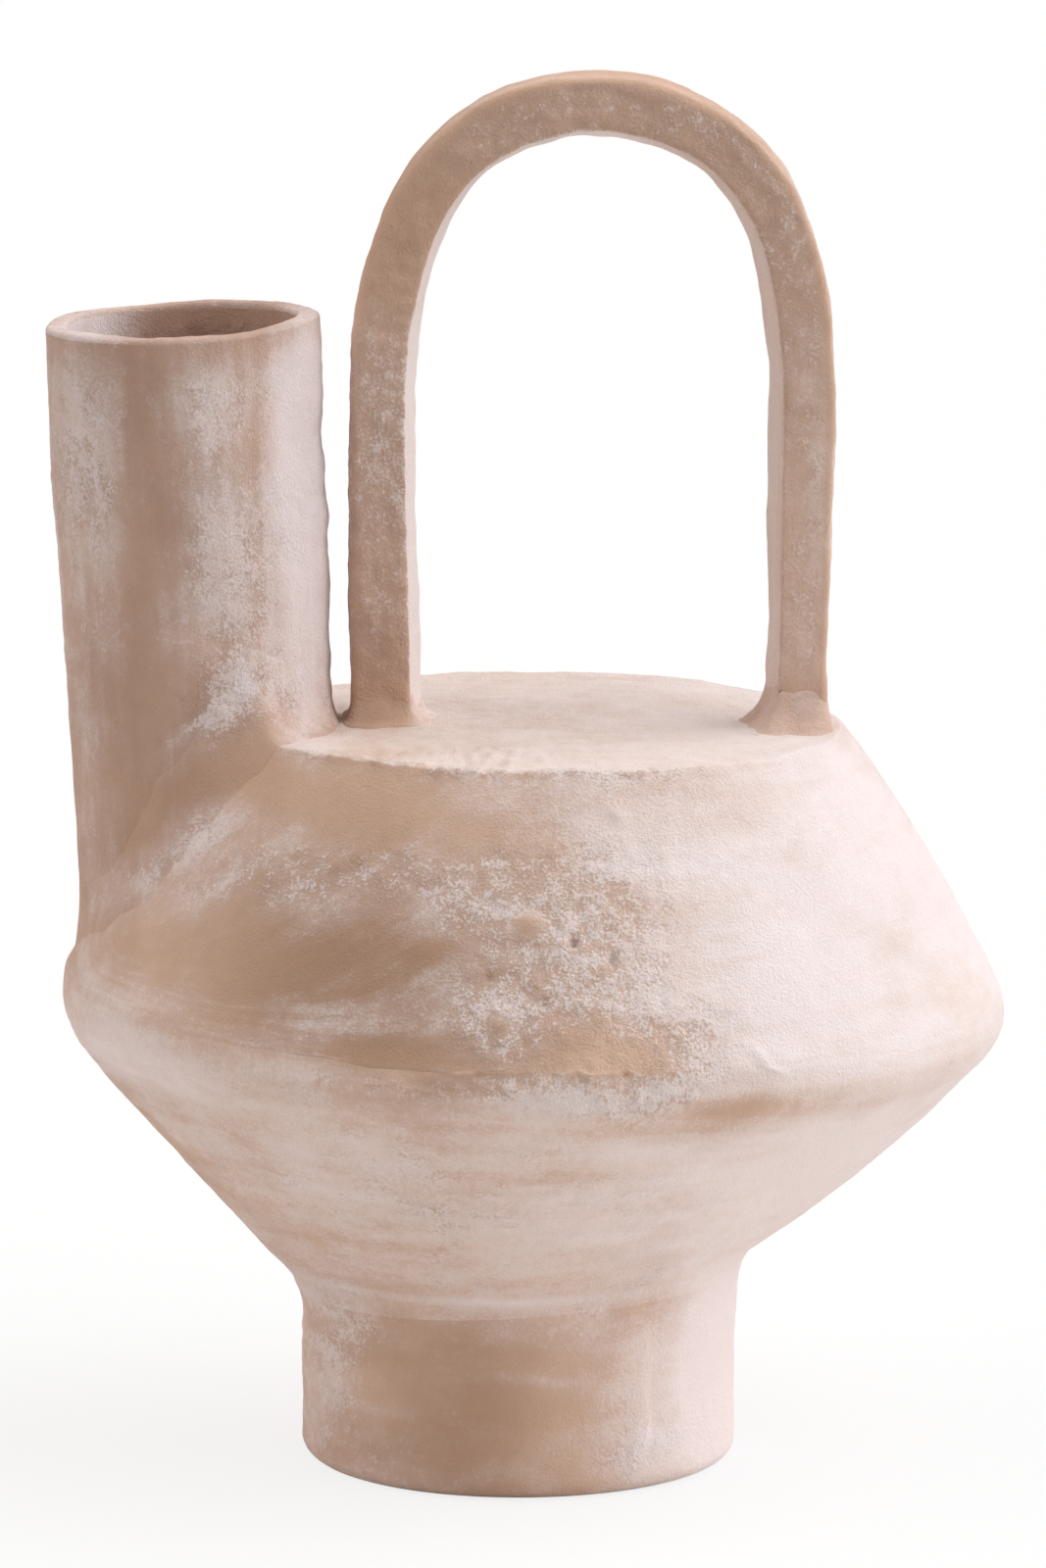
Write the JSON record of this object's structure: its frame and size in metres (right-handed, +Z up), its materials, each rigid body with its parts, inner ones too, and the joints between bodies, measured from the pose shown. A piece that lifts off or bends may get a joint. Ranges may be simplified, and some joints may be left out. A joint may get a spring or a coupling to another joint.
{
  "type": "handled vase",
  "caption": "Slab-built clay vase: drum foot, double-cone body with a flat deck, tall tube neck set off to one side, and a high arched strap handle.",
  "frame": {"origin": "centre of the foot's underside, on the surface the vase stands on", "axes": "+Z up; +X from the neck towards the handle, in the plane that holds the neck's axis and the handle; -Y towards the viewer of the picture"},
  "size_m": [0.2669, 0.262, 0.3882],
  "materials": {
    "whitewashed_clay": "unglazed sandy buff clay, brushed thinly with chalky white slip"
  },
  "bodies": {
    "root": {"floor_slab": "whitewashed_clay", "foot_wall": "whitewashed_clay", "lower_cone": "whitewashed_clay", "upper_cone": "whitewashed_clay", "deck_slab": "whitewashed_clay", "neck_tube": "whitewashed_clay", "neck_weld": "whitewashed_clay", "handle_arch": "whitewashed_clay", "handle_weld_left": "whitewashed_clay", "handle_weld_right": "whitewashed_clay"}
  },
  "joints": []
}
